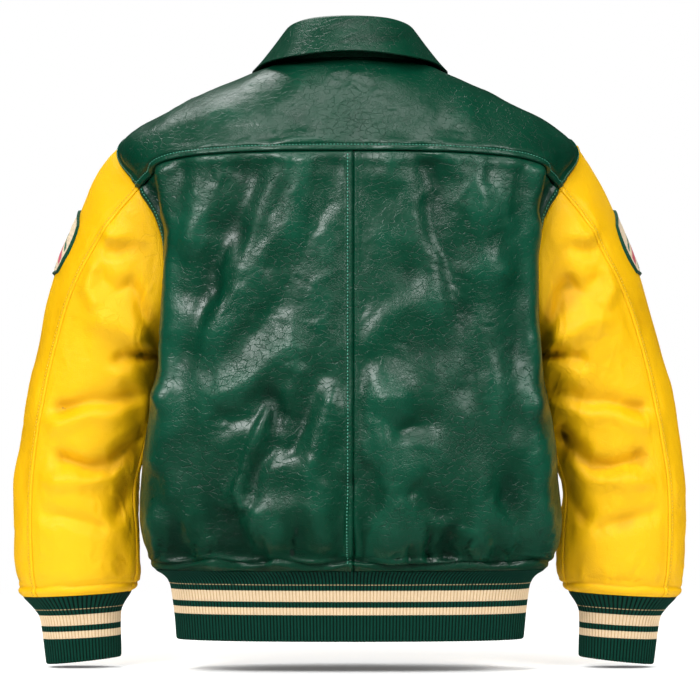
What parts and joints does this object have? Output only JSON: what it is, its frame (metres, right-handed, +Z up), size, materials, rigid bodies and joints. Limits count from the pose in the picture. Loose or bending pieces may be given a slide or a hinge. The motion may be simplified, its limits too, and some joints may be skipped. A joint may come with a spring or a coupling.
{
  "type": "varsity jacket",
  "caption": "Leather varsity jacket with contrast sleeves, a fold-over collar, a back yoke, striped rib hem and cuffs, snap front and sleeve patches, filled out as worn.",
  "frame": {"origin": "where the wearer's neck base carries the jacket, level with the middle of the back neck seam", "axes": "+Z up along the wearer; +Y forwards, out of the snap front, so the back faces -Y; +X to the wearer's right"},
  "size_m": [0.7818, 0.292, 0.7486],
  "materials": {
    "green_leather": "glossy dark green leather with fine wrinkles",
    "yellow_leather": "smooth golden yellow leather, satin",
    "rib_knit": "green rib knit with two cream stripes",
    "patch_chenille": "cream chenille patch with a green border",
    "snap_metal": "nickel-plated snap caps"
  },
  "bodies": {
    "root": {"yoke": "green_leather", "back_left": "green_leather", "back_right": "green_leather", "front_left": "green_leather", "front_right": "green_leather", "collar": "green_leather", "sleeve_left_upper": "yellow_leather", "sleeve_left_under": "yellow_leather", "sleeve_right_upper": "yellow_leather", "sleeve_right_under": "yellow_leather", "cuff_left": "rib_knit", "cuff_right": "rib_knit", "hem_band": "rib_knit", "patch_left": "patch_chenille", "patch_right": "patch_chenille", "snap_1": "snap_metal", "snap_2": "snap_metal", "snap_3": "snap_metal", "snap_4": "snap_metal", "snap_5": "snap_metal", "snap_6": "snap_metal", "snap_7": "snap_metal"}
  },
  "joints": []
}
